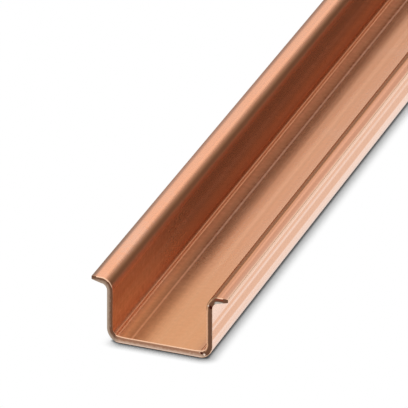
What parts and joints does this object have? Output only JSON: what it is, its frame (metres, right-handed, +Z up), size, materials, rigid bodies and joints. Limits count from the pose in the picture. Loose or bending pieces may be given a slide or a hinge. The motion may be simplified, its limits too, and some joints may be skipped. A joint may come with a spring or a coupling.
{
  "type": "top-hat din rail",
  "caption": "Unperforated top-hat mounting rail in bright copper, one length of stock: an open channel with outward flanges that devices clip on to.",
  "frame": {"origin": "middle of the channel floor's underside, halfway along the rail", "axes": "+X across the rail, +Y along the rail, +Z up out of the open channel"},
  "size_m": [0.035, 1, 0.015],
  "materials": {
    "rolled_copper": "bright rolled copper with fine lengthwise roll lines, semi-gloss, uncoated"
  },
  "bodies": {
    "root": {"din_rail": "rolled_copper"}
  },
  "joints": []
}
